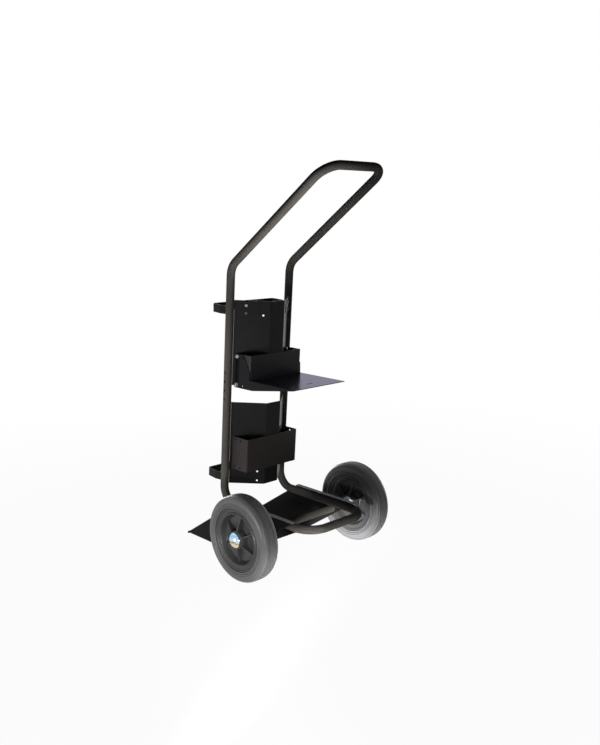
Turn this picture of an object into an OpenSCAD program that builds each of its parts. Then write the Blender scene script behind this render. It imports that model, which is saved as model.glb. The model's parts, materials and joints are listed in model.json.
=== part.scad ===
// Gas cylinder trolley: bent tube frame, folded sheet tray, two cylinder rings,
// two V panels with accessory pockets, a bolt-on shelf and two solid-rubber wheels.
// Plus X is the trolley's left as the operator stands behind it, plus Y is the operator's side,
// plus Z is up. The origin is on the floor under the middle of the whole trolley.

/* [Frame tube] */
// Outer diameter of the frame tube
tube_d = 25; // [20:1:32]
// Wall of the frame tube
tube_wall = 2; // [1.5:0.25:3]
// Distance between the centrelines of the two uprights
frame_w = 234.4; // [210:1:280]
// Lean of the uprights towards the operator, in degrees
mast_lean = 3.5; // [1:0.5:8]
// Distance of the uprights' foot in front of the axle
mast_setback = 226.7; // [200:1:260]
// Length of each upright from the rail to the handle bend
mast_len = 724.5; // [690:1:820]
// Angle between the handle arms and the vertical, in degrees
arm_angle = 54; // [40:1:65]
// Length of the handle arms from the bend to the crossbar
arm_len = 471.4; // [300:1:560]
// Distance of the rear bar behind the axle
rear_bar_y = 151.7; // [130:1:200]
// Centreline radius of the handle's bends
handle_bend_r = 56; // [45:1:70]
// Centreline radius of the bends at the foot of the uprights
foot_bend_r = 50; // [45:1:55]
// Centreline radius of the bends at the rear bar
rear_bend_r = 62; // [45:1:75]
// Height on the upright where the two bent tubes are joined
joint_s = 265; // [255:1:275]
// Length of the sleeve inside each joint
sleeve_len = 80; // [40:1:90]
// Wall of the joint sleeve
sleeve_wall = 2; // [1:0.25:3]
// Diameter of the spare height holes in the uprights
spare_hole_d = 7; // [5:0.5:9]
// Distance between the spare height holes
spare_hole_pitch = 27.3; // [20:0.1:30]
// Number of spare height holes in each upright
spare_hole_count = 4; // [1:1:5]
// Height of the lowest spare hole on the upright
spare_hole_s = 327; // [320:1:335]

/* [Wheels] */
// Outer diameter of the tyre
wheel_d = 250; // [220:1:280]
// Width of the tyre
tyre_w = 56; // [50:1:64]
// Distance between the middles of the two wheels
track_w = 465.4; // [450:1:520]
// Diameter where the tyre meets the rim at its side
tyre_bead_d = 184; // [176:1:190]
// Diameter of the rim's bed under the tyre
rim_bed_d = 172; // [166:1:174]
// Width of the rim at its edge
rim_w = 50; // [44:1:52]
// Diameter inside the rim's lip
rim_lip_d = 152; // [146:1:158]
// Thickness of the rim's web
web_t = 7; // [5:0.5:10]
// Outer diameter of the hub boss
hub_d = 52; // [46:1:60]
// Length of the hub boss
hub_len = 56; // [52:1:66]
// Number of ribs on each side of the web
rib_count = 6; // [3:1:8]
// Thickness of each rib
rib_t = 4; // [2:0.5:6]

/* [Axle] */
// Diameter of the axle rod
axle_d = 20; // [16:1:20]
// Outer diameter of the cross tube that holds the axle rod
axle_tube_d = 25; // [24:1:32]
// Length that the cross tube stands out of each side plate
axle_tube_out = 12; // [5:1:30]
// Outer diameter of the wheel bushes
bush_d = 28; // [26:1:32]
// Length of each wheel bush
bush_len = 22; // [15:1:28]
// Outer diameter of the spacer tubes between side plates and wheels
spacer_d = 26; // [24:1:32]
// Outer diameter of the washers beside the wheels
washer_d = 40; // [32:1:42]
// Thickness of the washers beside the wheels
washer_t = 2; // [1.5:0.5:3]
// Outer diameter of the domed hub cap
cap_d = 44; // [36:1:48]
// Height of the domed hub cap
cap_h = 11; // [9:0.5:16]
// Wall of the domed hub cap
cap_wall = 1.5; // [1:0.25:2]
// Length of axle rod inside the hub cap
axle_in_cap = 5; // [3:0.5:6]

/* [Tray] */
// Sheet thickness of the tray
tray_t = 3; // [2:0.5:4]
// Depth of the tray's floor plate
tray_depth = 246; // [220:1:260]
// Distance of the tray's front edge in front of the axle
tray_front = 396; // [380:1:410]
// Depth of the lip folded down at the front edge
lip_h = 7; // [5:0.5:12]
// Width of the flange that lies on top of each rail
flange_w = 15; // [8:1:20]
// Distance of the side plates' rear corner behind the axle
plate_rear = 95; // [60:1:110]

/* [Cylinder rings] */
// Height of the ring's flat bar
ring_h = 25; // [20:1:35]
// Thickness of the ring's flat bar
ring_t = 3; // [2:0.5:5]
// Distance of the ring's front face ahead of the uprights
ring_reach = 78; // [60:1:110]
// Outer width of the ring at its front
ring_w = 244; // [225:1:270]
// How much the ring widens before it runs in to the uprights
ring_bulge = 3; // [0:0.5:5]
// Length of the ring's straight sides
ring_side = 40; // [30:1:46]
// Height of the lower ring's underside on the upright
lower_ring_s = 63.6; // [62:1:80]
// Height of the upper ring's underside on the upright
upper_ring_s = 582.5; // [540:1:590]

/* [V panels] */
// Sheet thickness of the V panels and pockets
sheet_t = 2; // [1.5:0.25:3]
// Height of each V panel
panel_h = 258; // [240:1:262]
// Distance of the V's back behind the uprights
panel_depth = 81; // [60:1:100]
// Width of the V's back
panel_back_w = 55; // [40:1:90]
// Height of the lower panel's underside on the upright
lower_panel_s = 59; // [52:1:62]
// Height of the upper panel's underside on the upright
upper_panel_s = 369.8; // [360:1:375]
// Depth of the folded hem on the back of the upper panel
hem_h = 24; // [15:1:35]
// Diameter of the fixing holes in the panels
panel_hole_d = 6; // [4:0.5:8]
// Height of the chain plates on the upper panel
chain_plate_h = 44; // [38:1:46]
// Length of the chain plates along the panel
chain_plate_len = 70; // [60:1:80]

/* [Pockets] */
// Height of each pocket
pocket_h = 102.3; // [96:1:110]
// Height of the lower pocket's top on the upright
lower_pocket_s = 213.9; // [190:1:230]
// Height of the upper pocket's top on the upright
upper_pocket_s = 471.4; // [465:1:476]
// Distance between the two columns of pocket holes
pocket_col = 26.4; // [24:1:30]
// Distance between the two rows of pocket holes
pocket_row = 86.5; // [80:1:87]
// Distance of the upper row of pocket holes below the pocket's top
pocket_row_down = 10.5; // [8:0.5:11]
// Distance of the first column of pocket holes behind the uprights
pocket_col_o = 25.5; // [25:0.5:28]

/* [Shelf] */
// Sheet thickness of the shelf
shelf_t = 2; // [1.5:0.25:2.25]
// Depth of the shelf plate
shelf_depth = 188; // [150:1:230]
// Height of the shelf plate's top above the pocket's underside
shelf_up = 28; // [20:1:40]
// Depth of the side arms' upper end
arm_top_depth = 37; // [30:1:58]
// Height at which the side arms narrow towards their upper end, above the shelf
arm_step_h = 30; // [15:1:40]
// Length of the slot in the shelf
slot_len = 24; // [15:1:40]
// Width of the slot in the shelf
slot_w = 5; // [4:0.5:8]

/* [Fasteners] */
// Shank diameter of the shelf bolts
bolt_d = 6; // [5:0.5:6]
// Width across the flats of bolt heads and nuts
bolt_af = 10; // [8:0.5:11]
// Height of the bolt heads
bolt_head_h = 4; // [3:0.5:6]
// Thickness of the nuts
nut_h = 4; // [3:0.5:4.5]
// Outer diameter of the bolt washers
bolt_washer_d = 12; // [11:0.5:14]
// Thickness of the bolt washers
bolt_washer_t = 1.2; // [0.8:0.2:2]

/* [Clearances] */
// Gap between pieces that rest on each other
seat_gap = 0.3; // [0.2:0.05:0.4]
// Radial running gap between axle rod and bushes
run_gap = 0.06; // [0.02:0.01:0.1]
// Side gap on each side of a wheel hub
side_gap = 0.5; // [0.3:0.1:1]
// Radial gap around fasteners in their holes
hole_gap = 0.25; // [0.1:0.05:0.5]

/* [Hidden] */
$fn = 64;
tiny = 0.01;
bend_lap = 0.4;
bend_slim = 0.03;
tube_fn = 36;
fold_steps = 5;
tube_r = tube_d / 2;
half_w = frame_w / 2;
axle_z = wheel_d / 2;
rail_z = axle_z + axle_tube_d / 2 + seat_gap + tube_r;
frame_black = [0.16, 0.15, 0.145];
sheet_black = [0.12, 0.12, 0.12];
zinc = [0.72, 0.75, 0.8];
rubber_grey = [0.3, 0.3, 0.3];
plastic_black = [0.1, 0.1, 0.1];

// A point beside the left upright: x, distance behind the upright, height along it
function on_mast(x, o, s) = [x, -mast_setback + s * sin(mast_lean) + o * cos(mast_lean),
                             rail_z + s * cos(mast_lean) - o * sin(mast_lean)];
mast_foot = on_mast(0, 0, 0);
mast_top = on_mast(0, 0, mast_len);
arm_dir = [0, sin(arm_angle), cos(arm_angle)];
handle_end = mast_top + arm_len * arm_dir;
front_y = -tray_front;
rear_y = handle_end.y + tube_r;
origin_y = (front_y + rear_y) / 2;

// Frame joints
press_gap = 0.05;
sleeve_r = tube_r - tube_wall - press_gap;

// Tray
side_in = half_w + tube_r + seat_gap;
side_out = side_in + tray_t;
floor_z = lip_h - tray_t;
flange_z = rail_z + tube_r + seat_gap;

// Axle stations along x
axle_hole_d = axle_d + 2 * hole_gap;
tube_end_x = side_out + axle_tube_out;
hub_in_x = track_w / 2 - hub_len / 2;
hub_out_x = track_w / 2 + hub_len / 2;
cap_x = hub_out_x + side_gap + washer_t + seat_gap;
axle_end_x = cap_x + axle_in_cap;
cap_skirt = 2;
cap_collar_d = axle_hole_d + 4;

// Wheel section
rim_flange_t = 3;
bush_seat_r = bush_d / 2 + press_gap;
bead_in_r = rim_bed_d / 2 + press_gap;
bead_r = tyre_bead_d / 2;
dish_r = 66;
shoulder_r = 11;
groove_x = 11;
groove_w = 2.4;

// Rings, as points along the middle of the flat bar
ring_bend_r = 8;
ring_front_x = (ring_w - ring_t) / 2;
ring_front_o = ring_t / 2 - ring_reach;
ring_half = [[half_w - 2, -tube_r / 2], [ring_front_x + ring_bulge, ring_front_o + ring_side],
             [ring_front_x, ring_front_o]];
ring_points = concat(ring_half, [for (i = [2 : -1 : 0]) [-ring_half[i].x, ring_half[i].y]]);

// V panels, as points along the middle of the sheet
panel_bend_r = 4;
panel_back_x = panel_back_w / 2 - sheet_t / 4;
panel_back_o = panel_depth - sheet_t / 2;
panel_points = [[half_w, 0], [panel_back_x, panel_back_o], [-panel_back_x, panel_back_o], [-half_w, 0]];
diagonal_angle = atan2(panel_back_o, panel_back_x - half_w);
upper_panel_top = upper_panel_s + panel_h;
hem_w = panel_back_w - 6;
far_hole_u = 99;
lower_hole_s = 69.5;
lower_hole_gap = 29.4;
upper_hole_s = upper_panel_top - 43;
screw_d = 5;
screw_head_d = 8;
screw_head_h = 2.5;
screw_nut_h = 4;
screw_af = 8;
screw_u = 47.7;
screw_rows = [upper_panel_top - 15, upper_panel_top - 38];
notch_w = 9;
notch_depth = 6;
chain_plate_u = tube_r + 3.5;

// Pockets, as points along the middle of the sheet
arm_out = half_w - tube_r - seat_gap;
pocket_out = arm_out - shelf_t;
pocket_x = pocket_out - sheet_t / 2;
pocket_back_o = panel_depth + sheet_t / 2;
cheek_front_o = tube_r;
pocket_points = [[pocket_x, cheek_front_o], [pocket_x, pocket_back_o], [-pocket_x, pocket_back_o],
                 [-pocket_x, cheek_front_o]];
function pocket_top_z(top_s) = on_mast(0, pocket_back_o, top_s).z;

// The y of a point at height z that lies a distance o behind the uprights
function behind_mast(o, z) = on_mast(0, o, (z - rail_z + o * sin(mast_lean)) / cos(mast_lean)).y;

// Shelf
arm_front_o = tube_r + 4;
arm_bottom_z = pocket_top_z(upper_pocket_s) - pocket_h;
arm_top_z = pocket_top_z(upper_pocket_s);
shelf_z = arm_bottom_z + shelf_up;
shelf_front_y = behind_mast(pocket_back_o + sheet_t / 2, shelf_z) + seat_gap;
arm_heel = 12;
slot_y = shelf_front_y + shelf_depth - 42;

// Draws children, given in the frame with its origin under the axle, about the trolley's own origin
module placed() translate([0, -origin_y, 0]) children();

// Puts children in the leaning frame of the uprights
module leaning() translate([0, -mast_setback, rail_z]) rotate([-mast_lean, 0, 0]) children();

// Draws children and their mirror image on the other side
module both_sides() {
    children();
    mirror([1, 0, 0]) children();
}

function unit(v) = v / norm(v);
function turn(a, b) = acos(max(-1, min(1, a * b)));

// A round bar from point p to point q
module round_run(p, q, r) {
    d = q - p;
    translate(p) rotate([0, acos(d.z / norm(d)), atan2(d.y, d.x)]) cylinder(r = r, h = norm(d));
}

// A round bend at a corner, from direction a into direction b
module round_bend(corner, a, b, bend, r) {
    angle = turn(a, b);
    n = unit(cross(a, b));
    start = corner - a * bend * tan(angle / 2);
    out = cross(a, n);
    c = start - out * bend;
    multmatrix([[out.x, a.x, n.x, c.x], [out.y, a.y, n.y, c.y], [out.z, a.z, n.z, c.z]])
        rotate_extrude(angle = angle) translate([bend, 0]) circle(r = r);
}

// A bent round bar along points, with a bend radius for each inner point. The runs reach a little
// way into the bends, which are a hair slimmer
module bent_bar(points, bends, r) {
    last = len(points) - 1;
    dirs = [for (i = [0 : last - 1]) unit(points[i + 1] - points[i])];
    cut = [for (i = [0 : last])
        i == 0 || i == last ? 0 : bends[i - 1] * tan(turn(dirs[i - 1], dirs[i]) / 2) - bend_lap];
    for (i = [0 : last - 1])
        round_run(points[i] + dirs[i] * cut[i], points[i + 1] - dirs[i] * cut[i + 1], r);
    for (i = [1 : last - 1])
        round_bend(points[i], dirs[i - 1], dirs[i], bends[i - 1], r - bend_slim);
}

// Folded sheet seen from above: each edge of the strip as points, then the strip itself

function swung(v, q) = [v.x * cos(q) - v.y * sin(q), v.x * sin(q) + v.y * cos(q)];
function to_left(a) = [-a.y, a.x];

// The points of one fold, at a distance off to the left of the sheet's middle
function fold_arc(corner, a, b, bend, off) =
    let (angle = turn(a, b), side = cross(a, b) > 0 ? 1 : -1,
         c = corner - a * bend * tan(angle / 2) + side * bend * to_left(a))
    [for (i = [0 : fold_steps])
        c - side * (bend - side * off) * swung(to_left(a), side * angle * i / fold_steps)];

function strip_edge(points, bend, off) =
    let (last = len(points) - 1, dirs = [for (i = [0 : last - 1]) unit(points[i + 1] - points[i])])
    concat([points[0] + off * to_left(dirs[0])],
           [for (i = [1 : last - 1]) each fold_arc(points[i], dirs[i - 1], dirs[i], bend, off)],
           [points[last] + off * to_left(dirs[last - 1])]);

module folded_strip(points, bend, t) {
    back = strip_edge(points, bend, -t / 2);
    polygon(concat(strip_edge(points, bend, t / 2), [for (i = [len(back) - 1 : -1 : 0]) back[i]]));
}

// Frame tubes

handle_points = [on_mast(half_w, 0, joint_s), on_mast(half_w, 0, mast_len), handle_end + [half_w, 0, 0],
                 handle_end - [half_w, 0, 0], on_mast(-half_w, 0, mast_len), on_mast(-half_w, 0, joint_s)];
base_points = [on_mast(half_w, 0, joint_s), on_mast(half_w, 0, 0), [half_w, rear_bar_y, rail_z],
               [-half_w, rear_bar_y, rail_z], on_mast(-half_w, 0, 0), on_mast(-half_w, 0, joint_s)];

// A short run past each open end, so that the bore is open there
function lengthened(points) = let (last = len(points) - 1, start = unit(points[1] - points[0]),
                                   end = unit(points[last] - points[last - 1]))
    concat([points[0] - start], [for (i = [1 : last - 1]) points[i]], [points[last] + end]);

module bent_tube(points, bends) difference() {
    bent_bar(points, bends, tube_r, $fn = tube_fn);
    bent_bar(lengthened(points), bends, tube_r - tube_wall, $fn = tube_fn);
}

// Holes through both walls of both uprights, in a row up the tube
module spare_holes() for (i = [0 : spare_hole_count - 1])
    leaning() translate([-half_w - tube_d, 0, spare_hole_s + i * spare_hole_pitch])
        rotate([0, 90, 0]) cylinder(d = spare_hole_d, h = frame_w + 2 * tube_d);

module handle_bow() color(frame_black) placed() difference() {
    bent_tube(handle_points, handle_bend_r * [1, 1, 1, 1]);
    spare_holes();
}

module base_bow() color(frame_black) placed()
    bent_tube(base_points, [foot_bend_r, rear_bend_r, rear_bend_r, foot_bend_r]);

module joint_sleeve() leaning() translate([half_w, 0, joint_s - sleeve_len / 2]) difference() {
    cylinder(r = sleeve_r, h = sleeve_len);
    translate([0, 0, -1]) cylinder(r = sleeve_r - sleeve_wall, h = sleeve_len + 2);
}
module left_joint_sleeve() color(zinc) placed() joint_sleeve();
module right_joint_sleeve() color(zinc) placed() mirror([1, 0, 0]) joint_sleeve();

// Tray: a floor plate with two slanted side plates, whose top flanges lie on the rails

module side_plate() rotate([90, 0, 90]) linear_extrude(tray_t)
    polygon([[front_y, floor_z], [front_y + tray_depth, floor_z], [plate_rear, flange_z + tray_t],
             [plate_rear - tray_depth, flange_z + tray_t]]);

module tray() color(sheet_black) placed() difference() {
    union() {
        translate([-side_out, front_y, floor_z]) cube([2 * side_out, tray_depth, tray_t]);
        translate([-side_out, front_y, 0]) cube([2 * side_out, tray_t, lip_h]);
        both_sides() {
            translate([side_in, 0, 0]) side_plate();
            translate([side_out - flange_w, plate_rear - tray_depth, flange_z]) cube([flange_w, tray_depth, tray_t]);
        }
    }
    translate([-side_out - 1, 0, axle_z]) rotate([0, 90, 0])
        cylinder(r = axle_tube_d / 2 + hole_gap, h = 2 * side_out + 2);
}

// Axle, its cross tube and what sits beside the wheels

module along_x(x0, x1, d, bore = 0) translate([x0, 0, axle_z]) rotate([0, 90, 0]) difference() {
    cylinder(d = d, h = x1 - x0);
    if (bore > 0) translate([0, 0, -1]) cylinder(d = bore, h = x1 - x0 + 2);
}

module axle_tube() color(frame_black) placed() along_x(-tube_end_x, tube_end_x, axle_tube_d, axle_hole_d);
module axle_rod() color(zinc) placed() along_x(-axle_end_x, axle_end_x, axle_d);
module inner_washer() along_x(hub_in_x - side_gap - washer_t, hub_in_x - side_gap, washer_d, axle_hole_d);
module outer_washer() along_x(hub_out_x + side_gap, hub_out_x + side_gap + washer_t, washer_d, axle_hole_d);
module spacer() along_x(tube_end_x + seat_gap, hub_in_x - side_gap - washer_t - seat_gap, spacer_d, axle_hole_d);
module left_inner_washer() color(zinc) placed() inner_washer();
module right_inner_washer() color(zinc) placed() mirror([1, 0, 0]) inner_washer();
module left_outer_washer() color(zinc) placed() outer_washer();
module right_outer_washer() color(zinc) placed() mirror([1, 0, 0]) outer_washer();
module left_spacer() color(zinc) placed() spacer();
module right_spacer() color(zinc) placed() mirror([1, 0, 0]) spacer();

// Domed cap: a short skirt and a spherical crown over the axle's end
module dome(r, skirt, h) {
    rise = h - skirt;
    ball_r = (r * r + rise * rise) / (2 * rise);
    cylinder(r = r, h = skirt);
    intersection() {
        translate([0, 0, skirt + rise - ball_r]) sphere(r = ball_r);
        cylinder(r = r, h = h);
    }
}
module hub_cap() translate([cap_x, 0, axle_z]) rotate([0, 90, 0]) {
    difference() {
        dome(cap_d / 2, cap_skirt, cap_h);
        translate([0, 0, -tiny]) dome(cap_d / 2 - cap_wall, cap_skirt, cap_h - cap_wall);
    }
    difference() {
        cylinder(d = cap_collar_d, h = cap_h - cap_wall - 0.5);
        translate([0, 0, -1]) cylinder(d = axle_hole_d, h = cap_h);
    }
}
module left_hub_cap() color(zinc) placed() hub_cap();
module right_hub_cap() color(zinc) placed() mirror([1, 0, 0]) hub_cap();

// Wheel: solid rubber tyre on a ribbed plastic rim with two plain bushes

function arc(c, r, from, to, steps) = [for (i = [0 : steps])
    let (a = from + (to - from) * i / steps) [c.x + r * cos(a), c.y + r * sin(a)]];

// Half of the tyre's cross-section, as radius and distance from the middle
tyre_half = concat([[bead_in_r, 0], [bead_in_r, rim_w / 2 - rim_flange_t], [bead_r, rim_w / 2 - rim_flange_t],
                    [bead_r, tyre_w / 2 - 2]],
                   arc([bead_r + 4, tyre_w / 2 - 4], 4, 150, 90, 3),
                   arc([wheel_d / 2 - shoulder_r, tyre_w / 2 - shoulder_r], shoulder_r, 80, 10, 5),
                   [[wheel_d / 2, groove_x + groove_w / 2], [wheel_d / 2 - groove_w, groove_x],
                    [wheel_d / 2, groove_x - groove_w / 2], [wheel_d / 2, 0]]);
// Half of the rim's cross-section, from the bush seat out to the bed
rim_half = [[bush_seat_r, 0], [bush_seat_r, hub_len / 2], [hub_d / 2 - 2, hub_len / 2], [hub_d / 2, hub_len / 2 - 2],
            [hub_d / 2 + 2, web_t / 2], [dish_r, web_t / 2], [dish_r + 3, web_t / 2 + 5],
            [rim_lip_d / 2 - 2, rim_w / 2 - 4], [rim_lip_d / 2, rim_w / 2], [bead_r - 1.5, rim_w / 2],
            [bead_r, rim_w / 2 - 1.5], [bead_r, rim_w / 2 - rim_flange_t + press_gap],
            [rim_bed_d / 2, rim_w / 2 - rim_flange_t + press_gap], [rim_bed_d / 2, 0]];

function mirrored_section(half) = concat(half, [for (i = [len(half) - 2 : -1 : 1]) [half[i].x, -half[i].y]]);

module on_wheel(side) translate([side * track_w / 2, 0, axle_z]) rotate([0, 90, 0]) children();

module tyre() rotate_extrude($fn = 96) polygon(mirrored_section(tyre_half));

module rim() {
    rotate_extrude($fn = 96) polygon(mirrored_section(rim_half));
    for (side = [0, 1], i = [0 : rib_count - 1])
        mirror([0, 0, side]) rotate([0, 0, (i + side / 2) * 360 / rib_count]) rotate([90, 0, 0])
            translate([0, 0, -rib_t / 2]) linear_extrude(rib_t)
                polygon([[hub_d / 2 - 3, 0], [hub_d / 2 - 3, hub_len / 2 - 5], [hub_d / 2 + 6, hub_len / 2 - 7],
                         [dish_r + 2, rim_w / 2 - 13], [dish_r + 2, 0]]);
}

module bushes() for (end = [0, 1]) mirror([0, 0, end]) translate([0, 0, hub_len / 2 - bush_len]) difference() {
    cylinder(d = bush_d, h = bush_len);
    translate([0, 0, -1]) cylinder(d = axle_d + 2 * run_gap, h = bush_len + 2);
}

module left_tyre() color(rubber_grey) placed() on_wheel(1) tyre();
module right_tyre() color(rubber_grey) placed() on_wheel(-1) tyre();
module left_rim() color(plastic_black) placed() on_wheel(1) rim();
module right_rim() color(plastic_black) placed() on_wheel(-1) rim();
module left_bushes() color("ivory") placed() on_wheel(1) bushes();
module right_bushes() color("ivory") placed() on_wheel(-1) bushes();

// Cylinder rings: folded flat bar, closed at the front and coped onto the uprights

module around_uprights() for (side = [-1, 1]) translate([side * half_w, 0]) circle(r = tube_r + seat_gap);

module ring() linear_extrude(ring_h) difference() {
    folded_strip(ring_points, ring_bend_r, ring_t);
    around_uprights();
}
module lower_ring() color(sheet_black) placed() leaning() translate([0, 0, lower_ring_s]) ring();
module upper_ring() color(sheet_black) placed() leaning() translate([0, 0, upper_ring_s]) ring();

// V panels: folded sheet coped between the uprights

module v_panel() linear_extrude(panel_h) difference() {
    folded_strip(panel_points, panel_bend_r, sheet_t);
    around_uprights();
}

// Puts children on the left half of the V: local x runs from the upright's centre along the sheet,
// local y points to the load side, and z runs up the upright
module on_left_diagonal() leaning() translate([half_w, 0, 0]) rotate(diagonal_angle) children();

// A hole square through the left half of the V
module diagonal_hole(along, s, d) on_left_diagonal() translate([along, -2 * sheet_t - 1, s]) rotate([-90, 0, 0])
    cylinder(d = d, h = 4 * sheet_t + 2);

module lower_panel() color(sheet_black) placed() difference() {
    leaning() translate([0, 0, lower_panel_s]) v_panel();
    both_sides() for (s = [lower_hole_s, lower_hole_s + lower_hole_gap]) diagonal_hole(far_hole_u, s, panel_hole_d);
}

// The upper panel's back is folded over at its top, and has a notch on each side for a chain link
module upper_panel() color(sheet_black) placed() difference() {
    leaning() {
        translate([0, 0, upper_panel_s]) v_panel();
        translate([-hem_w / 2, panel_depth - tiny, upper_panel_top - hem_h]) cube([hem_w, sheet_t + tiny, hem_h]);
    }
    both_sides() {
        diagonal_hole(far_hole_u, upper_hole_s, panel_hole_d);
        for (s = screw_rows) diagonal_hole(screw_u, s, screw_d + 2 * hole_gap);
        chain_notch();
    }
}

module chain_notch() on_left_diagonal() translate([screw_u - notch_w / 2, -2 * sheet_t - 1, upper_panel_top - notch_depth])
    cube([notch_w, 4 * sheet_t + 2, notch_depth + 1]);

module chain_plate() difference() {
    on_left_diagonal() translate([chain_plate_u, -1.5 * sheet_t, upper_panel_top - chain_plate_h])
        cube([chain_plate_len, sheet_t, chain_plate_h]);
    for (s = screw_rows) diagonal_hole(screw_u, s, screw_d + 2 * hole_gap);
    chain_notch();
}
module left_chain_plate() color(sheet_black) placed() chain_plate();
module right_chain_plate() color(sheet_black) placed() mirror([1, 0, 0]) chain_plate();

module chain_screws() color(zinc) placed() both_sides() for (s = screw_rows)
    on_left_diagonal() translate([screw_u, -1.5 * sheet_t, s]) rotate([90, 0, 0]) {
        cylinder(d = screw_head_d, h = screw_head_h);
        translate([0, 0, -2 * sheet_t - screw_nut_h - 1]) cylinder(d = screw_d, h = 2 * sheet_t + screw_nut_h + 1);
    }
module chain_nuts() color(zinc) placed() both_sides() for (s = screw_rows)
    on_left_diagonal() translate([screw_u, sheet_t / 2, s]) rotate([-90, 0, 0]) difference() {
        cylinder(d = screw_af / cos(30), h = screw_nut_h, $fn = 6);
        translate([0, 0, -1]) cylinder(d = screw_d + 2 * hole_gap, h = screw_nut_h + 2);
    }

// Pockets: folded sheet round the back of a V panel, with level edges and its front edges
// trimmed to lie along the panel

module pocket_sheet(top_s) leaning() translate([0, 0, top_s - 1.5 * pocket_h])
    linear_extrude(2 * pocket_h) difference() {
        folded_strip(pocket_points, panel_bend_r, sheet_t);
        both_sides() translate([half_w, 0]) rotate(diagonal_angle) translate([0, -sheet_t / 2 - seat_gap])
            square(tube_d);
    }

module pocket_holes(top_s, d) for (row = [0, 1], col = [0, 1]) leaning()
    translate([-half_w, pocket_col_o + col * pocket_col, top_s - pocket_row_down - row * pocket_row])
        rotate([0, 90, 0]) cylinder(d = d, h = frame_w);

module pocket(top_s) difference() {
    intersection() {
        pocket_sheet(top_s);
        translate([-half_w, -mast_setback, pocket_top_z(top_s) - pocket_h]) cube([frame_w, mast_setback, pocket_h]);
    }
    pocket_holes(top_s, bolt_d + 2 * hole_gap);
}
module lower_pocket() color(frame_black) placed() pocket(lower_pocket_s);
module upper_pocket() color(sheet_black) placed() pocket(upper_pocket_s);

// Shelf: a folded sheet with two side arms bolted outside the upper pocket

module shelf_arm() rotate([90, 0, 90]) linear_extrude(shelf_t) polygon([
    [behind_mast(arm_front_o, arm_bottom_z), arm_bottom_z], [shelf_front_y + arm_heel, arm_bottom_z],
    [shelf_front_y + shelf_depth, shelf_z - shelf_t], [shelf_front_y + shelf_depth, shelf_z],
    [shelf_front_y, shelf_z], [shelf_front_y, shelf_z + arm_step_h],
    [behind_mast(arm_front_o, arm_top_z) + arm_top_depth, arm_top_z],
    [behind_mast(arm_front_o, arm_top_z), arm_top_z]]);

module shelf() color(sheet_black) placed() difference() {
    union() {
        translate([-arm_out, shelf_front_y, shelf_z - shelf_t]) cube([2 * arm_out, shelf_depth, shelf_t]);
        both_sides() translate([pocket_out, 0, 0]) shelf_arm();
    }
    pocket_holes(upper_pocket_s, bolt_d + 2 * hole_gap);
    translate([-slot_len / 2, slot_y - slot_w / 2, shelf_z - shelf_t - 1]) cube([slot_len, slot_w, shelf_t + 2]);
}

// Puts children at each shelf bolt, with z pointing out along the bolt
module at_shelf_bolts() both_sides() for (row = [0, 1]) leaning()
    translate([arm_out, pocket_col_o, upper_pocket_s - pocket_row_down - row * pocket_row]) rotate([0, 90, 0])
        children();

module shelf_bolts() color(zinc) placed() at_shelf_bolts() {
    translate([0, 0, bolt_washer_t]) cylinder(d = bolt_af / cos(30), h = bolt_head_h, $fn = 6);
    translate([0, 0, -shelf_t - sheet_t - nut_h - 1])
        cylinder(d = bolt_d, h = shelf_t + sheet_t + nut_h + 1 + bolt_washer_t + tiny);
}
module shelf_washers() color(zinc) placed() at_shelf_bolts() difference() {
    cylinder(d = bolt_washer_d, h = bolt_washer_t);
    translate([0, 0, -1]) cylinder(d = bolt_d + 2 * hole_gap, h = bolt_washer_t + 2);
}
module shelf_nuts() color(zinc) placed() at_shelf_bolts() translate([0, 0, -shelf_t - sheet_t - nut_h])
    difference() {
        cylinder(d = bolt_af / cos(30), h = nut_h, $fn = 6);
        translate([0, 0, -1]) cylinder(d = bolt_d + 2 * hole_gap, h = nut_h + 2);
    }

handle_bow();
base_bow();
left_joint_sleeve();
right_joint_sleeve();
tray();
axle_tube();
axle_rod();
left_tyre();
right_tyre();
left_rim();
right_rim();
left_bushes();
right_bushes();
left_inner_washer();
right_inner_washer();
left_outer_washer();
right_outer_washer();
left_spacer();
right_spacer();
left_hub_cap();
right_hub_cap();
lower_ring();
upper_ring();
lower_panel();
upper_panel();
left_chain_plate();
right_chain_plate();
chain_screws();
chain_nuts();
lower_pocket();
upper_pocket();
shelf();
shelf_bolts();
shelf_washers();
shelf_nuts();
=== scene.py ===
import json
import math

import bmesh
import bpy
import numpy as np
from mathutils import Matrix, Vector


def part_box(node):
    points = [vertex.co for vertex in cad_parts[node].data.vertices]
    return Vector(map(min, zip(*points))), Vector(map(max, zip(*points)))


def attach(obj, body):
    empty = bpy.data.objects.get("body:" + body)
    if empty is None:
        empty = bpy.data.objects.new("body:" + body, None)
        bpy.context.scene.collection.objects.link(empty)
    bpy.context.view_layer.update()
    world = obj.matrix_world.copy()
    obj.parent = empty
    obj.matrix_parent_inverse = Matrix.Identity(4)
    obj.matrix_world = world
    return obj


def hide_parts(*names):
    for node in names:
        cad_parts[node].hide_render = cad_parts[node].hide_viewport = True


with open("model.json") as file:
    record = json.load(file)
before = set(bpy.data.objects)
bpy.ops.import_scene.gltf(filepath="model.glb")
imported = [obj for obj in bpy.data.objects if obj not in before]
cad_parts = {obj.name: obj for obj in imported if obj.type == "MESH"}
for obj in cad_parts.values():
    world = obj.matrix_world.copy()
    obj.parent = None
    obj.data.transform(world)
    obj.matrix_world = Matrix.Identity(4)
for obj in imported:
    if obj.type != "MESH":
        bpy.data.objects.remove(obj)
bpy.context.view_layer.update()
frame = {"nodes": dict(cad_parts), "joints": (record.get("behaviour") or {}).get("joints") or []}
nodes = frame["nodes"]

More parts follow.
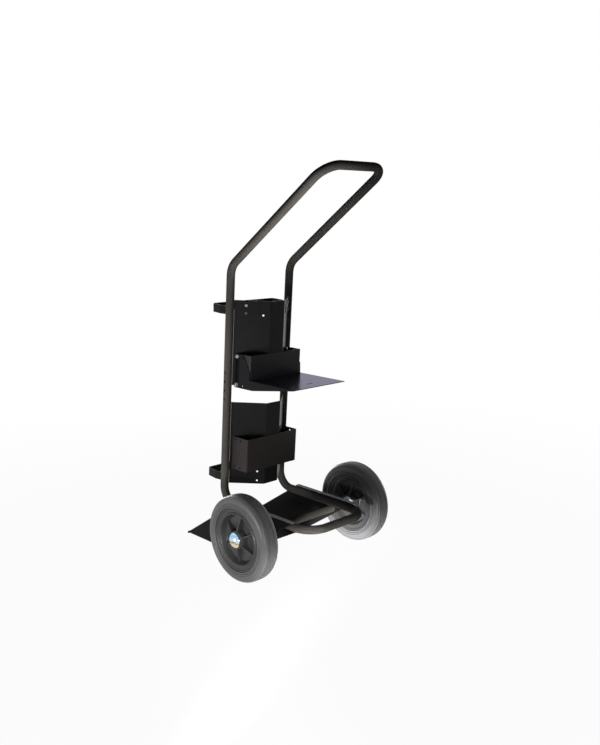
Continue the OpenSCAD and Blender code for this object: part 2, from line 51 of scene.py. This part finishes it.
# Bent frame tubes
# The trolley's frame is two lengths of 25 mm steel tube, bent and joined end to end over inner
# sleeves. It is powder coated a warm grey-black with a satin finish.
TUBE_COLOUR = (0.094, 0.086, 0.078)
TUBE_ROUGHNESS = 0.46
NOISE_ENDS = (0.3, 0.7)  # nearly all of a noise's values lie between these
DRIFT_SCALE = 9.0  # turns of noise to the metre, as are the other scales
WANDER_SCALE = 60.0
WANDER_SHARE = 0.12  # how far the roughness wanders either way
GRAIN_DETAIL = 2.0
GRAIN_STRENGTH = 0.25


def feed(tree, entry, given):
    """Joins a socket to a node's entry, or writes a plain number or colour there."""
    if isinstance(given, bpy.types.NodeSocket):
        tree.links.new(given, entry)
    else:
        entry.default_value = given


def place_on(tree):
    """The point that is shaded, in Object coordinates, which are metres in the shared frame."""
    return tree.nodes.new("ShaderNodeTexCoord").outputs["Object"]


def noise_of(tree, scale, detail=3.0, stretch=None):
    """Soft noise through the solid piece. A stretch below one draws it out along that axis."""
    place = place_on(tree)
    if stretch is not None:
        mapping = tree.nodes.new("ShaderNodeMapping")
        mapping.inputs["Scale"].default_value = stretch
        tree.links.new(place, mapping.inputs["Vector"])
        place = mapping.outputs["Vector"]
    noise = tree.nodes.new("ShaderNodeTexNoise")
    noise.inputs["Scale"].default_value = scale
    noise.inputs["Detail"].default_value = detail
    tree.links.new(place, noise.inputs["Vector"])
    return noise.outputs["Fac"]


def ramp_of(tree, value, stops):
    """Colours blended along a value, given as (position, colour) stops."""
    ramp = tree.nodes.new("ShaderNodeValToRGB")
    while len(ramp.color_ramp.elements) < len(stops):
        ramp.color_ramp.elements.new(1.0)
    for element, (position, colour) in zip(ramp.color_ramp.elements, stops):
        element.position = position
        element.color = (*colour, 1.0)
    tree.links.new(value, ramp.inputs["Fac"])
    return ramp.outputs["Color"]


def spread(tree, value, ends, results):
    """A value carried in a straight line from one pair of ends to the other, and held level past them."""
    line = tree.nodes.new("ShaderNodeMapRange")
    names = ("Value", "From Min", "From Max", "To Min", "To Max")
    for name, given in zip(names, (value, *ends, *results)):
        feed(tree, line.inputs[name], given)
    return line.outputs["Result"]


def finish_of(name, colour, roughness, grain=700.0, grain_depth=0.00002, mottle=0.10, metallic=0.0,
              specular=0.5):
    """A finish: the colour drifts by the mottle either way with slow noise, the roughness wanders by a
    set share with finer noise, and a fine grain of the given scale and depth in metres is a bump."""
    material = bpy.data.materials.new(name)
    material.use_nodes = True
    tree = material.node_tree
    shader = tree.nodes["Principled BSDF"]
    shader.inputs["Metallic"].default_value = metallic
    shader.inputs["Specular IOR Level"].default_value = specular
    shades = [tuple(c * share for c in colour) for share in (1 - mottle, 1 + mottle)]
    drift = ramp_of(tree, noise_of(tree, DRIFT_SCALE), list(zip(NOISE_ENDS, shades)))
    tree.links.new(drift, shader.inputs["Base Color"])
    limits = (roughness * (1 - WANDER_SHARE), roughness * (1 + WANDER_SHARE))
    wander = spread(tree, noise_of(tree, WANDER_SCALE), NOISE_ENDS, limits)
    tree.links.new(wander, shader.inputs["Roughness"])
    bump = tree.nodes.new("ShaderNodeBump")
    bump.inputs["Strength"].default_value = GRAIN_STRENGTH
    bump.inputs["Distance"].default_value = grain_depth
    tree.links.new(noise_of(tree, grain, GRAIN_DETAIL), bump.inputs["Height"])
    tree.links.new(bump.outputs["Normal"], shader.inputs["Normal"])
    return material


def dress(material, *names):
    """Gives CAD nodes their finish."""
    for name in names:
        for slot in nodes[name].material_slots:
            slot.material = material


tube_coat = finish_of("tube_coat", TUBE_COLOUR, TUBE_ROUGHNESS, grain_depth=0.000004, specular=0.0)
dress(tube_coat, "handle_bow", "base_bow")

# Joint sleeves
# Plain turned steel sleeves inside the two tube joints, slid into both ends and hidden once the frame
# is together. They are left bare and bright.
sleeve_steel = finish_of("sleeve_steel", (0.55, 0.55, 0.56), roughness=0.35, metallic=1.0)
dress(sleeve_steel, "left_joint_sleeve", "right_joint_sleeve")

# Tray
# A single folded sheet of 3 mm steel: floor, front lip, two slanted side plates and a flange along
# the top of each, which lies on the rail. Coated matt black; the flanges' tops carry a painted
# highlight, a pale lilac strip with darker streaks.
TRAY_COLOUR = (0.011, 0.011, 0.011)
FLANGE_HIGHLIGHT_COLOUR = (0.62, 0.62, 0.70)
HIGHLIGHT_STREAK_SHARE = 0.9  # share of the painted highlight's colour that is left in its darker streaks
FLANGE_HIGHLIGHT_SKIN = 0.0005  # how far below the flanges' tops the painted highlight reaches, in metres
HIGHLIGHT_STREAK_SCALE = 500.0
HIGHLIGHT_STREAK_STRETCH = (1.0, 0.05, 1.0)
MIX_AMOUNT, MIX_UNDER, MIX_OVER = 0, 6, 7  # the inputs that a Mix node uses for colours
MIX_COLOUR = 2  # its output for them


def upright_part(tree, vector):
    """The Z part of a vector."""
    parts = tree.nodes.new("ShaderNodeSeparateXYZ")
    tree.links.new(vector, parts.inputs["Vector"])
    return parts.outputs["Z"]


def math_of(tree, operation, *terms):
    """A sum on sockets and numbers, by the Math node's own word for it."""
    step = tree.nodes.new("ShaderNodeMath")
    step.operation = operation
    for entry, term in zip(step.inputs, terms):
        feed(tree, entry, term)
    return step.outputs["Value"]


def lay_over(tree, amount, colour, blend="MIX"):
    """Lays a second colour over the finish's own, by an amount from zero to one."""
    shader = tree.nodes["Principled BSDF"]
    mix = tree.nodes.new("ShaderNodeMix")
    mix.data_type = "RGBA"
    mix.blend_type = blend
    feed(tree, mix.inputs[MIX_AMOUNT], amount)
    feed(tree, mix.inputs[MIX_UNDER], shader.inputs["Base Color"].links[0].from_socket)
    feed(tree, mix.inputs[MIX_OVER], colour)
    tree.links.new(mix.outputs[MIX_COLOUR], shader.inputs["Base Color"])


tray_coat = finish_of("tray_coat", TRAY_COLOUR, roughness=0.62, specular=0.05)
tray_tree = tray_coat.node_tree
# Painted highlight: the flanges' top faces are painted a pale lilac, streaked darker by noise.
highlighted_flange_top = math_of(tray_tree, "GREATER_THAN", upright_part(tray_tree, place_on(tray_tree)),
                     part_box("tray")[1].z - FLANGE_HIGHLIGHT_SKIN)
highlight_shades = [tuple(c * share for c in FLANGE_HIGHLIGHT_COLOUR) for share in (HIGHLIGHT_STREAK_SHARE, 1.0)]
highlight_streaks = noise_of(tray_tree, HIGHLIGHT_STREAK_SCALE, GRAIN_DETAIL, HIGHLIGHT_STREAK_STRETCH)
lay_over(tray_tree, highlighted_flange_top, ramp_of(tray_tree, highlight_streaks, list(zip(NOISE_ENDS, highlight_shades))))
dress(tray_coat, "tray")

# Axle, spacers and washers
# A 20 mm zinc-plated rod through a black-coated cross tube under the rails, with plated spacer tubes
# and washers between the side plates and the wheels. The washers next to the spacers are duller.
zinc = finish_of("zinc_plate", (0.66, 0.70, 0.76), roughness=0.24, grain=1500.0, metallic=1.0)
dull_zinc = finish_of("dull_zinc", (0.72, 0.76, 0.82), roughness=0.5, grain=1500.0)
dress(tube_coat, "axle_tube")
dress(zinc, "axle_rod", "left_spacer", "right_spacer", "left_outer_washer", "right_outer_washer")
dress(dull_zinc, "left_inner_washer", "right_inner_washer")

# Tyres
# Solid grey rubber, moulded in one piece and stretched onto the rim. Each sidewall has two fine rings
# by the rim and a rounded shoulder. A fine groove parts the shoulder from the tread, which has a
# shallow groove on each side of its middle.
WHEEL_CENTRES = {joint["child"].removesuffix("_wheel"): joint["pos_m"] for joint in frame["joints"]}
AXLE_Y, AXLE_Z = frame["joints"][0]["pos_m"][1:]
MM_IN_METRE = 1000
TURN_STEPS = 160
MERGE_DISTANCE = 1e-7  # in metres
SHARP_ANGLE = math.radians(32.0)  # edges that turn by more than this stay sharp
# Half of the tyre's outline, as (radius from the axle, distance from the wheel's middle plane) in mm
TYRE_HALF = [
    (86.1, 0.0), (86.1, 21.0), (91.9, 22.0),  # seat on the rim
    (92.0, 24.6), (92.4, 26.8), (93.4, 28.2), (94.6, 28.4), (95.8, 27.9), (96.6, 26.7),  # inner ring
    (97.6, 26.5), (98.4, 27.1), (99.4, 28.2), (100.8, 28.4), (102.0, 28.1), (102.8, 27.2),  # outer ring
    (103.8, 27.3), (104.8, 28.0), (109.0, 27.9), (113.0, 27.4), (116.0, 26.6), (118.6, 25.3),  # sidewall
    (120.6, 23.6), (121.9, 21.8), (122.6, 20.2), (121.9, 19.5), (121.9, 18.9), (123.2, 18.2),  # shoulder
    (124.0, 16.6), (124.5, 13.8), (124.6, 10.4),  # tread beside its groove
    (123.4, 9.8), (123.3, 9.2), (124.7, 8.6), (124.95, 4.0),  # groove and middle of the tread
]
RUBBER_COLOUR = (0.128, 0.128, 0.131)
# Painted shade and highlight: how much of the rubber's colour is left at each radius in mm, darker in
# the grooves as painted shade and paler on the edges as painted highlight
RING_PAINTED_SHADING = [
    (86.0, 0.50), (93.0, 0.55), (94.6, 0.85), (96.0, 0.50), (97.2, 0.24), (98.6, 0.50), (100.4, 0.66),
    (102.4, 0.50), (103.3, 0.24), (104.6, 0.60), (107.0, 0.64), (112.0, 0.58), (120.0, 0.56),
    (121.8, 0.56), (122.4, 1.00), (123.1, 0.60), (125.0, 0.55),
]


def skin(name, grids, body, material):
    """One mesh from grids of points, whose columns go round a closed outline. In a grid that is marked
    round, the last row is joined to the first, and in any other the two end rows are filled."""
    points, faces = [], []
    for grid, goes_round in grids:
        rows, columns = grid.shape[:2]
        base = sum(len(part) for part in points)
        points.append(grid.reshape(-1, 3))
        i, j = np.meshgrid(np.arange(rows if goes_round else rows - 1), np.arange(columns), indexing="ij")
        next_i, next_j = (i + 1) % rows, (j + 1) % columns
        corners = [i * columns + j, next_i * columns + j, next_i * columns + next_j, i * columns + next_j]
        faces += (np.stack(corners, -1).reshape(-1, 4) + base).tolist()
        if not goes_round:
            faces.append((base + np.arange(columns)).tolist())
            faces.append((base + (rows - 1) * columns + np.arange(columns)).tolist())
    mesh = bpy.data.meshes.new(name)
    mesh.from_pydata(np.concatenate(points).tolist(), [], faces)
    shape = bmesh.new()
    shape.from_mesh(mesh)
    bmesh.ops.remove_doubles(shape, verts=shape.verts, dist=MERGE_DISTANCE)
    bmesh.ops.recalc_face_normals(shape, faces=shape.faces)
    shape.to_mesh(mesh)
    shape.free()
    mesh.shade_smooth()
    mesh.set_sharp_from_angle(angle=SHARP_ANGLE)
    mesh.materials.append(material)
    piece = bpy.data.objects.new(name, mesh)
    bpy.context.scene.collection.objects.link(piece)
    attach(piece, body)
    return piece


def turned(profile, centre, side, steps=TURN_STEPS):
    """A profile turned about the axle: a point of radius r and distance x goes to
    centre + (side * x, r cos t, r sin t) for t round the circle. Millimetres in, metres out."""
    profile = np.asarray(profile, float) / MM_IN_METRE
    t = np.linspace(0, 2 * math.pi, steps, endpoint=False)[:, None]
    r, x = profile[None, :, 0], profile[None, :, 1]
    return np.stack([side * x + 0 * t, r * np.cos(t), r * np.sin(t)], -1) + centre


def both_faces(half):
    """The half profile and its mirror image, as one closed outline."""
    return half + [(r, -x) for r, x in reversed(half) if x > 0]


def length_of(tree, vector):
    """The length of a vector."""
    length = tree.nodes.new("ShaderNodeVectorMath")
    length.operation = "LENGTH"
    tree.links.new(vector, length.inputs[0])
    return length.outputs["Value"]


def axle_distance(tree):
    """How far the shaded point lies from the axle's line: the length of (0, y - axle y, z - axle z)."""
    across = tree.nodes.new("ShaderNodeVectorMath")
    across.operation = "MULTIPLY_ADD"
    across.inputs[1].default_value = (0.0, 1.0, 1.0)
    across.inputs[2].default_value = (0.0, -AXLE_Y, -AXLE_Z)
    tree.links.new(place_on(tree), across.inputs[0])
    return length_of(tree, across.outputs["Vector"])


rubber = finish_of("tyre_rubber", RUBBER_COLOUR, roughness=0.42, grain=1100.0, grain_depth=0.00004,
                   specular=0.30)
rubber_tree = rubber.node_tree
shade_start, shade_end = RING_PAINTED_SHADING[0][0], RING_PAINTED_SHADING[-1][0]
along_sidewall = spread(rubber_tree, axle_distance(rubber_tree),
                        (shade_start / MM_IN_METRE, shade_end / MM_IN_METRE), (0.0, 1.0))
painted_shading_stops = [((r - shade_start) / (shade_end - shade_start), (shade,) * 3) for r, shade in RING_PAINTED_SHADING]
# Painted shade and highlight: the ring shading is multiplied into the rubber's colour.
lay_over(rubber_tree, 1.0, ramp_of(rubber_tree, along_sidewall, painted_shading_stops), "MULTIPLY")
for side_name, centre in WHEEL_CENTRES.items():
    grids = [(turned(both_faces(TYRE_HALF), centre, 1), True)]
    tyre = skin(side_name + "_tyre_rubber", grids, side_name + "_wheel", rubber)
    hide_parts(side_name + "_tyre")

# Rims
# Injection-moulded black plastic, one piece from the bead seat to the hub, stiffened on each side by
# six deep ribs with rounded edges. The bushes are pressed into its hub. Sizes are in mm.
RIB_COUNT = 6
RIB_TURN = math.radians(27.0)
RIB_INNER, RIB_OUTER = 24.0, 70.0
RIB_HALF_THICK = 2.0
RIB_FOOT = 2.0  # height from the wheel's middle plane, inside the web
RIB_CREST = 24.5  # height at the hub
RIB_DROP = 12.5  # how much lower the crest is at the rim
RIB_STEPS = 24
RIB_BOW = np.linspace(-math.pi / 2, math.pi / 2, 9)  # angles round the crest
# One flank from the flared foot up, as shares of the half thickness across and of the crest's height
RIB_FLANK = np.array([[-2.4, 0.0], [-1.25, 0.10], [-1.12, 0.35]])
# Half of the rim's outline, as (radius from the axle, distance from the wheel's middle plane)
RIM_HALF = [
    (14.1, 0.0), (14.1, 27.0), (15.0, 28.0), (23.6, 28.0), (25.2, 27.4), (26.0, 26.0),  # hub
    (26.6, 9.0), (27.6, 5.4), (30.0, 3.7), (34.0, 3.5), (62.0, 3.5),  # web
    (65.0, 4.2), (66.6, 6.4), (68.4, 12.0), (71.4, 20.4), (72.6, 23.6),  # slope up to the lips
    (73.8, 24.8), (75.2, 25.0), (76.6, 24.6), (77.6, 23.0), (78.6, 21.6), (80.2, 21.2),  # inner lip
    (84.4, 21.4), (85.8, 22.2), (87.0, 24.2), (88.4, 24.9), (90.4, 24.9), (91.5, 24.4),  # outer lip
    (91.8, 22.2), (86.0, 21.0), (86.0, 0.0),  # bead seat
]


def rib(centre, side, turn):
    """A moulded rib, carried along the wheel's radius r. Its crest drops from the hub outwards by the
    smooth step 3 s^2 - 2 s^3 of s, the share of the way. Each section goes up a flank with draft, round
    the crest by a half circle, and down the other flank."""
    r = np.linspace(RIB_INNER, RIB_OUTER, RIB_STEPS)[:, None]
    s = (r - RIB_INNER) / (RIB_OUTER - RIB_INNER)
    crest = RIB_CREST - RIB_DROP * (3 * s ** 2 - 2 * s ** 3)
    level = np.zeros(len(RIB_FLANK))
    across = RIB_HALF_THICK * np.concatenate([RIB_FLANK[:, 0], np.sin(RIB_BOW), -RIB_FLANK[::-1, 0]])
    climb = np.concatenate([RIB_FLANK[:, 1], np.ones(len(RIB_BOW)), RIB_FLANK[::-1, 1]])
    dip = RIB_HALF_THICK * np.concatenate([level, np.cos(RIB_BOW) - 1, level])
    height = RIB_FOOT + (crest - RIB_FOOT) * climb + dip
    outward = np.array([math.cos(turn), math.sin(turn)])
    sideways = np.array([-outward[1], outward[0]])
    plane = [r * outward[k] + across * sideways[k] for k in (0, 1)]
    return np.stack([side * height, *plane], -1) / MM_IN_METRE + centre


rim_plastic = finish_of("rim_plastic", (0.031, 0.031, 0.032), roughness=0.42, grain=900.0, mottle=0.08,
                        specular=0.30)
for side_name, centre in WHEEL_CENTRES.items():
    grids = [(turned(both_faces(RIM_HALF), centre, 1), True)]
    for face, first_rib in ((1, 0.0), (-1, 0.5)):
        for i in range(RIB_COUNT):
            turn = RIB_TURN + 2 * math.pi * (i + first_rib) / RIB_COUNT
            grids.append((rib(centre, face, turn), False))
    rim = skin(side_name + "_rim_moulding", grids, side_name + "_wheel", rim_plastic)
    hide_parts(side_name + "_rim")

# Bushes
# Short plain sleeves of natural plastic, pressed into each end of the hub to run on the axle. Only
# their ends show, and those are behind the washers.
bush_plastic = finish_of("bush_plastic", (0.55, 0.52, 0.45), roughness=0.4)
dress(bush_plastic, "left_bushes", "right_bushes")

# Hub caps
# Domed covers pressed from thin bright-plated steel and pushed on the axle's ends. Their colour is a
# painted reflection in uneven bands, straw at the bottom, olive across the middle and blue at the top.
# Sizes are in mm.
CAP_RADIUS = 22.0
CAP_RISE = 10.9
CAP_RIM_HEIGHT = 2.0
CAP_TOP = 0.0001  # radius of the ring at the top, next to nothing so that it merges to a point
CAP_TURN_STEPS = 72
CAP_CROWN_STEPS = 14
CAP_INSIDE = [(CAP_TOP, 9.6), (12.0, 8.0), (20.2, 1.6)]
CAP_ROLLED_RIM = [(20.6, 0.0), (21.6, 0.0), (22.0, 0.5), (22.0, 1.4)]
REFLECTION_BAND_WANDER = 30.0  # the noise shifts the painted reflection's bands by up to half of this, up or down
REFLECTION_BAND_SCALE = 45.0
REFLECTION_BAND_COLOURS = [(0.0, (0.75, 0.60, 0.42)), (0.3, (0.80, 0.62, 0.42)), (0.45, (0.28, 0.30, 0.16)),
                (0.58, (0.62, 0.74, 0.84)), (0.8, (0.30, 0.55, 0.85)), (1.0, (0.62, 0.78, 0.90))]


def cap_profile():
    """The cap's closed outline: the inside of the wall, the rolled rim, and the crown. The crown is an
    arc of the circle of radius (R^2 + h^2) / 2h, which rises by h over the half width R."""
    rise = CAP_RISE - CAP_RIM_HEIGHT
    ball = (CAP_RADIUS ** 2 + rise ** 2) / (2 * rise)
    lean = math.asin(CAP_RADIUS / ball) * (1 - np.linspace(0, 1, CAP_CROWN_STEPS)[1:])
    radii = np.maximum(ball * np.sin(lean), CAP_TOP)
    heights = CAP_RIM_HEIGHT + ball * np.cos(lean) - (ball - rise)
    return CAP_INSIDE + CAP_ROLLED_RIM + list(zip(radii, heights))


cap_plate = finish_of("cap_plate", (0.7, 0.75, 0.8), roughness=0.12, grain=1500.0, grain_depth=0.000005,
                      metallic=1.0)
cap_tree = cap_plate.node_tree
# Painted reflection: straw, olive and blue bands laid up the cap by height, waved by noise.
wavy_height = math_of(cap_tree, "MULTIPLY_ADD", noise_of(cap_tree, REFLECTION_BAND_SCALE), REFLECTION_BAND_WANDER / MM_IN_METRE,
                      upright_part(cap_tree, place_on(cap_tree)))
reflection_band_ends = [AXLE_Z + (edge * CAP_RADIUS + REFLECTION_BAND_WANDER / 2) / MM_IN_METRE for edge in (-1, 1)]
painted_reflection = ramp_of(cap_tree, spread(cap_tree, wavy_height, reflection_band_ends, (0.0, 1.0)), REFLECTION_BAND_COLOURS)
cap_tree.links.new(painted_reflection, cap_tree.nodes["Principled BSDF"].inputs["Base Color"])
for side_name, side in (("left", 1), ("right", -1)):
    low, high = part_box(side_name + "_hub_cap")
    seat = low.x if side > 0 else high.x
    centre = np.array([seat, (low.y + high.y) / 2, (low.z + high.z) / 2])
    grids = [(turned(cap_profile(), centre, side, CAP_TURN_STEPS), True)]
    cap = skin(side_name + "_cap_dome", grids, "frame", cap_plate)
    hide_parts(side_name + "_hub_cap")

# Cylinder rings
# Flat bar 25 by 3 mm, folded round the front of the cylinder space and welded to the uprights.
# Coated black, a little glossier than the tray.
sheet_coat = finish_of("sheet_coat", (0.014, 0.014, 0.0145), roughness=0.30, specular=0.06)
dress(sheet_coat, "lower_ring", "upper_ring")

# Back panels and chain plates
# 2 mm sheet folded to a V between the uprights, black-coated. The upper one carries a chain plate on
# each side, held by screws with zinc-plated nuts. The lower row of screws is dark, and the upper one is
# painted pale as a painted highlight.
SCREW_COLOUR = (0.035, 0.035, 0.037)
UPPER_SCREW_HIGHLIGHT_COLOUR = (0.40, 0.41, 0.43, 1.0)
dress(sheet_coat, "lower_panel", "upper_panel", "left_chain_plate", "right_chain_plate")
dress(zinc, "chain_nuts")
screw_plate = finish_of("screw_plate", SCREW_COLOUR, roughness=0.45)
screw_tree = screw_plate.node_tree
screws_low, screws_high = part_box("chain_screws")
# Painted highlight: the upper row of screws is painted pale.
highlighted_screw_row = math_of(screw_tree, "GREATER_THAN", upright_part(screw_tree, place_on(screw_tree)),
                    (screws_low.z + screws_high.z) / 2)
lay_over(screw_tree, highlighted_screw_row, UPPER_SCREW_HIGHLIGHT_COLOUR)
dress(screw_plate, "chain_screws")

# Pockets
# 2 mm sheet folded round the back of each panel. The lower one is coated a satin warm grey-black, as
# the tubes are, and the upper one a smoother and cooler black.
pocket_coat = finish_of("pocket_coat", (0.030, 0.026, 0.0245), roughness=0.45, specular=0.10)
dress(pocket_coat, "lower_pocket")
upper_pocket_coat = finish_of("upper_pocket_coat", (0.026, 0.026, 0.027), roughness=0.35, specular=0.08)
dress(upper_pocket_coat, "upper_pocket")

# Shelf and its fasteners
# 2 mm sheet with a folded arm on each side, bolted through the upper pocket's cheeks. It is black.
# Its top faces alone are made metallic and lilac: a rendered reflection of the room with a painted
# lilac tint, a painted sheen.
SHELF_COLOUR = (0.0070, 0.0065, 0.0080)
SHELF_TOP_REFLECTION_COLOUR = (0.100, 0.098, 0.120, 1.0)
SHELF_EDGE_REFLECTION_TINT = (0.66, 0.65, 0.76, 1.0)  # painted lilac tint of the top's reflection at a low angle
FACES_UP = 0.7  # a face is part of the top where its normal's Z part is above this
shelf_coat = finish_of("shelf_coat", SHELF_COLOUR, roughness=0.20, grain_depth=0.0, specular=0.10)
shelf_tree = shelf_coat.node_tree
normal = shelf_tree.nodes.new("ShaderNodeNewGeometry").outputs["Normal"]
# Painted reflection: only faces that look up get the lilac metallic colour.
reflecting_shelf_top = math_of(shelf_tree, "GREATER_THAN", upright_part(shelf_tree, normal), FACES_UP)
lay_over(shelf_tree, reflecting_shelf_top, SHELF_TOP_REFLECTION_COLOUR)
shelf_shader = shelf_tree.nodes["Principled BSDF"]
shelf_shader.inputs["Specular Tint"].default_value = SHELF_EDGE_REFLECTION_TINT
shelf_tree.links.new(reflecting_shelf_top, shelf_shader.inputs["Metallic"])
dress(shelf_coat, "shelf")
dress(zinc, "shelf_bolts", "shelf_washers", "shelf_nuts")

# Floor
# A pale studio floor. The camera sees it nearly white, and it keeps the trolley's soft shadow. It
# glows a little, as a light table does, and so lights the trolley from below.
FLOOR_HALF = 30.0
FLOOR_COLOUR = (0.6, 0.6, 0.6, 1.0)
GLOW_NEAR = 0.96  # share of glow that the camera sees in the floor by the trolley; further out it is 1
GLOW_FADE = (0.9, 2.4)  # metres from the middle, between which that share grows
GLOW_UNSEEN = 0.10  # share of glow that lights the trolley
floor_corners = [(x * FLOOR_HALF, y * FLOOR_HALF, 0.0) for x, y in ((-1, -1), (1, -1), (1, 1), (-1, 1))]
floor_mesh = bpy.data.meshes.new("floor")
floor_mesh.from_pydata(floor_corners, [], [(0, 1, 2, 3)])
floor = bpy.data.objects.new("floor", floor_mesh)
bpy.context.scene.collection.objects.link(floor)
floor_paint = bpy.data.materials.new("floor_paint")
floor_paint.use_nodes = True
floor_tree = floor_paint.node_tree
matt = floor_tree.nodes["Principled BSDF"]
matt.inputs["Base Color"].default_value = FLOOR_COLOUR
matt.inputs["Roughness"].default_value = 0.9
matt.inputs["Specular IOR Level"].default_value = 0.0
glow = floor_tree.nodes.new("ShaderNodeEmission")
glow.inputs["Strength"].default_value = 1.0


def seen_by(tree):
    """One for rays that show the surround itself, which are the camera's, the reflected and the
    transmitted ones, and zero for those that carry its light to a matt surface."""
    path = tree.nodes.new("ShaderNodeLightPath")
    found = path.outputs["Is Camera Ray"]
    for kind in ("Is Glossy Ray", "Is Transmission Ray"):
        found = math_of(tree, "MAXIMUM", found, path.outputs[kind])
    return found


glow_seen = spread(floor_tree, length_of(floor_tree, place_on(floor_tree)), GLOW_FADE, (GLOW_NEAR, 1.0))
glow_share = spread(floor_tree, seen_by(floor_tree), (0.0, 1.0), (GLOW_UNSEEN, glow_seen))
blend = floor_tree.nodes.new("ShaderNodeMixShader")
floor_tree.links.new(glow_share, blend.inputs["Fac"])
floor_tree.links.new(matt.outputs["BSDF"], blend.inputs[1])
floor_tree.links.new(glow.outputs["Emission"], blend.inputs[2])
floor_tree.links.new(blend.outputs["Shader"], floor_tree.nodes["Material Output"].inputs["Surface"])
floor_mesh.materials.append(floor_paint)

# Studio light
# A white surround for the camera and the shiny parts to see, which hardly lights the matt ones. Five
# narrow spots light the tubes, a panel, the handle and the wheels, and two weak wide boxes the rest.
SURROUND_UNSEEN = 0.03
SPOT_SOFT_EDGE = 0.8
world = bpy.data.worlds.new("studio")
bpy.context.scene.world = world
world.use_nodes = True
world_tree = world.node_tree
surround = world_tree.nodes["Background"]
surround.inputs["Color"].default_value = (1, 1, 1, 1)
surround_level = spread(world_tree, seen_by(world_tree), (0.0, 1.0), (SURROUND_UNSEEN, 1.0))
world_tree.links.new(surround_level, surround.inputs["Strength"])


def lamp(name, place, target, size, watts, cone=None):
    """A square soft box turned towards its target or, with a cone in degrees, a spot. A lamp shines
    down at first: it is tipped by its angle from straight above the target, then swung round to it."""
    light = bpy.data.lights.new(name, "AREA" if cone is None else "SPOT")
    if cone is None:
        light.size = size
    else:
        light.shadow_soft_size = size / 2
        light.spot_size = math.radians(cone)
        light.spot_blend = SPOT_SOFT_EDGE
    light.energy = watts
    holder = bpy.data.objects.new(name, light)
    away = np.array(place) - np.array(target)
    swing, tip = math.atan2(away[0], -away[1]), math.acos(away[2] / np.linalg.norm(away))
    holder.rotation_euler = (tip, 0.0, swing)
    holder.location = place
    holder.visible_camera = False
    bpy.context.scene.collection.objects.link(holder)


lamp("key_lamp", (1.7, -0.15, 0.14), (0.0, 0.0, 0.35), size=0.5, watts=89.0, cone=42.0)
lamp("panel_lamp", (1.6, 0.9, 0.25), (0.03, -0.15, 0.62), size=0.4, watts=29.0, cone=27.0)
lamp("handle_lamp", (0.25, 0.6, 0.55), (0.20, 0.13, 1.03), size=0.15, watts=26.0, cone=54.0)
lamp("low_lamp", (1.1, 1.3, 0.25), (0.25, 0.02, -0.12), size=0.3, watts=110.0, cone=29.0)
lamp("far_wheel_lamp", (1.0, 0.72, 0.08), (-0.24, 0.09, -0.03), size=0.15, watts=520.0, cone=15.0)
lamp("front_lamp", (-0.9, -2.5, 0.5), (0.0, 0.0, 0.5), size=0.8, watts=30.0)
lamp("right_lamp", (-2.6, 0.2, 0.5), (0.0, 0.0, 0.5), size=0.8, watts=10.0)

# Camera
# It stands where the photograph was taken from: behind the trolley and to its left, a little lower
# than its handle, and tilted down.
CAMERA_PLACE = (1.70455, 1.83681, 1.02734)
YAW, PITCH, ROLL = (math.radians(angle) for angle in (44.12514, 10.60266, 0.36041))
FOCAL_PIXELS = 850.589
PHOTO_HEIGHT_PIXELS = 745
SENSOR_MM = 36.0
forward = np.array([-math.sin(YAW) * math.cos(PITCH), -math.cos(YAW) * math.cos(PITCH), -math.sin(PITCH)])
level_right = np.cross(forward, (0, 0, 1))
level_right /= np.linalg.norm(level_right)
level_up = np.cross(level_right, forward)
right = level_right * math.cos(ROLL) + level_up * math.sin(ROLL)
up = np.cross(right, forward)
pose = np.eye(4)
pose[:3, :3] = np.stack([right, up, -forward], -1)
pose[:3, 3] = CAMERA_PLACE
camera_data = bpy.data.cameras.new("camera")
camera_data.sensor_width = SENSOR_MM
camera_data.lens = FOCAL_PIXELS * SENSOR_MM / PHOTO_HEIGHT_PIXELS
camera = bpy.data.objects.new("camera", camera_data)
camera.matrix_world = Matrix(pose.tolist())
bpy.context.scene.collection.objects.link(camera)
bpy.context.scene.camera = camera
bpy.context.scene.view_settings.view_transform = "Standard"
